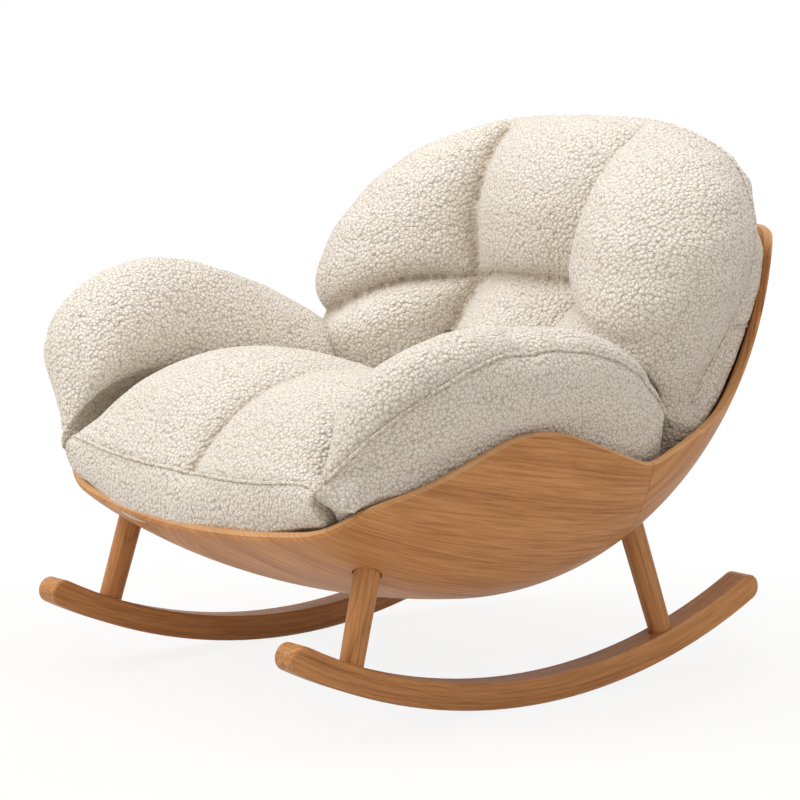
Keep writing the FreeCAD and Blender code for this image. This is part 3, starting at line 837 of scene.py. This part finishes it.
@dataclass
class Welt:
    """Corded seam laid on a cushion along a few guide points."""

    piece: str
    guide: tuple[Point, ...]
    radius: float = 0.0024
    step: float = 0.006
    sink: float = 0.0006
    groove: float = 0.0022
    groove_reach: float = 0.006
    painted_shade: float = 0.8
    painted_shade_reach: float = 0.003

    def path(self, pad: bpy.types.Object) -> list[Vector]:
        """Points of the seam on the cushion's surface.

        Args:
            pad: the cushion.

        Returns:
            Points a short step apart.
        """
        line = bpy.data.curves.new(self.piece + "_guide", "CURVE")
        line.dimensions = "3D"
        spline = line.splines.new("NURBS")
        spline.points.add(len(self.guide) - 1)
        for knot, point in zip(spline.points, self.guide):
            knot.co = (*point, 1.0)
        spline.order_u = 3
        spline.use_endpoint_u = True
        length = sum(math.dist(a, b) for a, b in zip(self.guide, self.guide[1:]))
        spline.resolution_u = max(2, round(length / self.step / len(self.guide)))
        holder = bpy.data.objects.new(line.name, line)
        guide = bpy.data.meshes.new_from_object(holder)
        tree = BVHTree.FromObject(pad, bpy.context.evaluated_depsgraph_get())
        found = []
        for vert in guide.vertices:
            spot, normal, _, _ = tree.find_nearest(vert.co)
            found.append(spot - normal * self.sink)
        bpy.data.objects.remove(holder)
        bpy.data.curves.remove(line)
        bpy.data.meshes.remove(guide)
        return found

    def press(self, pad: bpy.types.Object, seam: list[Vector]) -> None:
        """Draw the cushion's surface in along the seam and paint shade along it.

        Args:
            pad: the cushion.
            seam: points of the seam.
        """
        points = read_points(pad.data)
        away = nearest(np.array(seam), points)
        pull = self.groove * np.exp(-(away / self.groove_reach) ** 2)
        write_points(pad.data, points - read_normals(pad.data) * pull[:, None])
        # Painted shade along the welt's groove.
        deepen_painted_shade(pad.data, self.painted_shade * np.exp(-away / self.painted_shade_reach))

    def build(self, pad: bpy.types.Object, cloth: bpy.types.Material) -> bpy.types.Object:
        """Make the welt as a tube on its cushion.

        Args:
            pad: the cushion that carries it.
            cloth: its material.

        Returns:
            The finished piece.
        """
        points = self.path(pad)
        self.press(pad, points)
        line = bpy.data.curves.new(self.piece + "_line", "CURVE")
        line.dimensions = "3D"
        line.bevel_depth = self.radius
        line.bevel_resolution = 2
        line.use_fill_caps = True
        spline = line.splines.new("POLY")
        spline.points.add(len(points) - 1)
        for knot, point in zip(spline.points, points):
            knot.co = (*point, 1.0)
        holder = bpy.data.objects.new(line.name, line)
        welt = linked(self.piece, bpy.data.meshes.new_from_object(holder))
        bpy.data.objects.remove(holder)
        bpy.data.curves.remove(line)
        smooth(welt.data)
        welt.data.materials.clear()
        welt.data.materials.append(cloth)
        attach(welt, BODY)
        return welt


def mirrored(guide: tuple[Point, ...]) -> tuple[Point, ...]:
    """The same guide on the other side of the chair."""
    return tuple((-x, y, z) for x, y, z in guide)


@dataclass
class Upholstery:
    """Seat, arms and back with their corded seams."""

    arm_swells: tuple[tuple[Swell, ...], ...] = (
        (Swell((-0.34, -0.22, 0.58), (0.16, 0.22, 0.11), (0.0, 0.0, 0.042)),
         Swell((-0.43, -0.36, 0.48), (0.10, 0.13, 0.11), (-0.024, -0.048, 0.0))),
        (Swell((0.34, -0.20, 0.56), (0.14, 0.20, 0.12), (0.0, 0.0, -0.016)),
         Swell((0.31, -0.27, 0.50), (0.10, 0.08, 0.07), (0.0, 0.0, -0.010)),
         Swell((0.36, 0.07, 0.52), (0.10, 0.09, 0.10), (0.0, 0.0, 0.006))))
    seat_swells: tuple[Swell, ...] = (
        Swell((-0.15, -0.12, 0.44), (0.11, 0.22, 0.08), (0.0, 0.0, 0.014)),
        Swell((0.29, -0.27, 0.40), (0.05, 0.13, 0.08), (-0.004, 0.0, -0.030)),
        Swell((-0.16, -0.38, 0.255), (0.22, 0.08, 0.05), (-0.004, -0.016, -0.016)),
        Swell((0.10, -0.38, 0.24), (0.20, 0.07, 0.05), (0.0, -0.008, -0.008)))
    back_swells: tuple[Swell, ...] = (
        Swell((-0.31, 0.16, 0.51), (0.12, 0.13, 0.17), (-0.030, -0.034, 0.0)),
        Swell((0.32, 0.20, 0.58), (0.13, 0.13, 0.16), (0.010, -0.010, 0.0)),
        Swell((0.27, 0.15, 0.50), (0.08, 0.08, 0.05), (0.006, -0.024, 0.0)),
        Swell((-0.22, 0.16, 0.455), (0.085, 0.10, 0.06), (-0.006, -0.044, 0.014)),
        Swell((0.0, 0.21, 0.455), (0.085, 0.10, 0.055), (0.0, -0.038, 0.014)),
        Swell((0.22, 0.16, 0.46), (0.085, 0.10, 0.06), (0.006, -0.030, 0.012)),
        Swell((-0.21, 0.20, 0.525), (0.075, 0.10, 0.045), (0.0, -0.010, 0.014)),
        Swell((0.0, 0.23, 0.525), (0.075, 0.10, 0.045), (0.0, -0.008, 0.010)),
        Swell((0.38, 0.33, 0.62), (0.08, 0.10, 0.10), (0.012, 0.006, 0.0)))
    arm_welt: tuple[Point, ...] = (
        (0.312, -0.372, 0.345), (0.350, -0.360, 0.376), (0.370, -0.335, 0.408), (0.392, -0.290, 0.450),
        (0.404, -0.210, 0.489), (0.408, -0.110, 0.508), (0.406, -0.010, 0.504), (0.401, 0.080, 0.476),
        (0.390, 0.145, 0.440), (0.370, 0.193, 0.396))
    front_welt: tuple[Point, ...] = (
        (-0.302, -0.372, 0.342), (-0.200, -0.372, 0.328), (-0.080, -0.366, 0.318), (0.0, -0.364, 0.316),
        (0.080, -0.366, 0.318), (0.200, -0.372, 0.328), (0.302, -0.372, 0.342))
    back_welt: tuple[Point, ...] = (
        (0.0, 0.372, 0.800), (0.100, 0.372, 0.799), (0.180, 0.376, 0.791), (0.235, 0.380, 0.774),
        (0.290, 0.381, 0.746), (0.330, 0.371, 0.705), (0.354, 0.358, 0.655), (0.360, 0.341, 0.590),
        (0.346, 0.326, 0.530), (0.328, 0.297, 0.462), (0.308, 0.265, 0.396))
    boxing_seam: tuple[Point, ...] = ((0.341, 0.318, 0.508), (0.344, 0.350, 0.505), (0.340, 0.385, 0.502))
    shell: tuple[str, ...] = ("shell_left", "shell_right", "shell_back")
    base: tuple[str, ...] = ("seat_lining", "seat_deck")
    seat_seam: tuple[Point, Point] = ((-0.06, -0.45, 0.325), (0.06, 0.30, 0.60))
    back_seams: tuple[Point, Point] = ((-0.40, -0.10, 0.42), (0.18, 0.36, 0.775))
    seat_valley: float = 0.022
    back_valley: float = 0.006
    seam_radius: float = 0.0016

    def build(self, frame: dict) -> None:
        """Make every cushion and its seams.

        Args:
            frame: the loaded frame.
        """
        cloth = Boucle().material()
        hard = self.shell + self.base
        seat = Pad("seat_cushion", "seat_cover", "seat_core", hard,
                   ("arm_cover_left", "arm_cover_right", "back_cover"), self.seat_swells,
                   *self.seat_seam, valley_depth=self.seat_valley)
        seat_piece = seat.build(frame, cloth)
        Welt("seat_welt", self.front_welt).build(seat_piece, cloth)
        LOG.info("seat cushion")
        for side, swells in zip(Side, self.arm_swells):
            name = side.name.lower()
            arm = Pad("arm_cushion_" + name, "arm_cover_" + name, "arm_core_" + name, hard,
                      ("seat_cover", "back_cover"), swells)
            arm_piece = arm.build(frame, cloth)
            guide = self.arm_welt if side is Side.RIGHT else mirrored(self.arm_welt)
            Welt("arm_welt_" + name, guide).build(arm_piece, cloth)
            LOG.info("arm cushion, %s", name)
        back = Pad("back_cushion", "back_cover", "back_core", hard,
                   ("seat_cover", "arm_cover_left", "arm_cover_right"), self.back_swells,
                   *self.back_seams, walls=self.shell, valley_depth=self.back_valley)
        back_piece = back.build(frame, cloth)
        Welt("back_welt", mirrored(self.back_welt)[:0:-1] + self.back_welt).build(back_piece, cloth)
        for side in Side:
            guide = self.boxing_seam if side is Side.RIGHT else mirrored(self.boxing_seam)
            Welt("boxing_seam_" + side.name.lower(), guide, radius=self.seam_radius).build(back_piece, cloth)
        LOG.info("back cushion")


@dataclass
class Woodwork:
    """Finishes of the bowl, runners, legs and the pieces inside."""

    sides: tuple[str, ...] = ("shell_left", "shell_right")
    runners: tuple[str, ...] = ("runner_left", "runner_right")
    legs: tuple[str, ...] = ("leg_front_left", "leg_front_right", "leg_rear_left", "leg_rear_right")
    lining_flat: Pair = (0.733, 0.624)
    lining_area: float = 0.383
    inner: tuple[str, ...] = ("keel_batten", "back_batten", "leg_blocks", "seat_deck", "deck_rail_front",
                              "deck_rail_rear")

    def build(self, frame: dict) -> None:
        """Give every rigid node its finish.

        Args:
            frame: the loaded frame.
        """
        birch = Hidden("birch_ply", (0.52, 0.38, 0.22, 1.0), (0.64, 0.49, 0.31, 1.0), 60.0, 0.6)
        steel = Hidden("bolt_steel", (0.42, 0.42, 0.43, 1.0), (0.55, 0.55, 0.56, 1.0), 300.0, 0.3, 1.0)
        lining = Hidden("lining_cloth", (0.02, 0.02, 0.02, 1.0), (0.04, 0.04, 0.04, 1.0), 900.0, 0.9)
        finishes = ((Oak(Grain.SIDE), self.sides), (Oak(Grain.BACK), ("shell_back",)),
                    (Oak(Grain.RUNNER), self.runners), (Oak(Grain.LEG), self.legs),
                    (birch, self.inner), (steel, ("leg_bolts",)), (lining, ("seat_lining",)))
        for finish, names in finishes:
            material = finish.material()
            for name in names:
                mesh = frame["nodes"][name].data
                mesh.materials.clear()
                mesh.materials.append(material)
                LOG.info("%s: %s", name, material.name)


@dataclass(frozen=True)
class Lamp:
    """One soft square lamp."""

    name: str
    place: Point
    size: float
    power: float

    def hang(self, aim: Point) -> None:
        """Hang the lamp so that it faces a point."""
        light = bpy.data.lights.new(self.name, "AREA")
        light.size = self.size
        light.energy = self.power
        lamp = bpy.data.objects.new(self.name, light)
        lamp.location = self.place
        lamp.rotation_euler = (Vector(aim) - Vector(self.place)).to_track_quat("-Z", "Y").to_euler()
        bpy.context.scene.collection.objects.link(lamp)


@dataclass
class Studio:
    """Pale floor, soft lamps and the camera."""

    camera_place: Point = (3.1848, -2.5186, 0.8959)
    azimuth: float = 51.661
    elevation: float = 7.065
    lens: float = 126.97
    sensor: float = 36.0
    sight: float = 50.0
    floor_half: float = 6.0
    floor_share: float = 0.88
    shade_start: float = 0.45
    shade_end: float = 1.1
    ambient: float = 0.42
    bounce: Colour = (1.0, 0.94, 0.86, 1.0)
    floor_grey: Colour = (0.76, 0.74, 0.72, 1.0)
    floor_roughness: float = 0.9
    aim: Point = (0.0, 0.0, 0.40)
    lamps: tuple[Lamp, ...] = (
        Lamp("key", (-1.2, -2.6, 2.9), 2.0, 88.0),
        Lamp("top", (0.2, 0.3, 3.2), 2.4, 52.0),
        Lamp("side", (3.2, 0.2, 1.9), 2.0, 17.0))

    def floor(self) -> None:
        """Lay the floor, which stays near white for the camera and keeps a soft shadow."""
        work = bmesh.new()
        bmesh.ops.create_grid(work, x_segments=1, y_segments=1, size=self.floor_half)
        mesh = bpy.data.meshes.new("floor")
        work.to_mesh(mesh)
        work.free()
        floor = linked("floor", mesh)
        paint = Shader("floor")
        paint.dress(Base_Color=self.floor_grey, Roughness=self.floor_roughness, Specular_IOR_Level=0.0)
        glow = paint.add("ShaderNodeEmission", {}, {"Color": WHITE, "Strength": 1.0})
        x, y, _ = paint.parts(paint.place())
        away = ((x * x + y * y) ** 0.5).between(self.shade_start, self.shade_end)
        share = paint.seen() * (self.floor_share + away * (1.0 - self.floor_share))
        surface = Term(paint, paint.surface.outputs[0])
        mixed = paint.add("ShaderNodeMixShader", {}, {0: share, 1: surface, 2: glow})
        paint.feed(paint.output.inputs["Surface"], mixed)
        mesh.materials.append(paint.material)

    def sky(self) -> None:
        """Even pale surroundings, white where the camera sees them."""
        world = bpy.data.worlds.new("studio")
        bpy.context.scene.world = world
        world.use_nodes = True
        nodes = Nodes(world.node_tree)
        back = world.node_tree.nodes["Background"]
        seen = nodes.seen()
        nodes.feed(back.inputs["Color"], nodes.mix(seen, self.bounce, WHITE))
        nodes.feed(back.inputs["Strength"], self.ambient + seen * (1.0 - self.ambient))

    def build(self) -> None:
        """Set the whole studio up."""
        lens = bpy.data.cameras.new("camera")
        lens.lens = self.lens
        lens.sensor_width = self.sensor
        lens.clip_end = self.sight
        camera = bpy.data.objects.new("camera", lens)
        camera.location = self.camera_place
        camera.rotation_euler = (math.radians(90.0 - self.elevation), 0.0, math.radians(self.azimuth))
        bpy.context.scene.collection.objects.link(camera)
        bpy.context.scene.camera = camera
        bpy.context.scene.view_settings.view_transform = "Standard"
        self.floor()
        self.sky()
        for lamp in self.lamps:
            lamp.hang(self.aim)


def main() -> None:
    """Build the chair's looks round the frame."""
    logging.basicConfig(level=logging.INFO, format="%(name)s: %(message)s")
    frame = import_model()
    Studio().build()
    Woodwork().build(frame)
    Upholstery().build(frame)


if __name__ == "__main__":
    main()
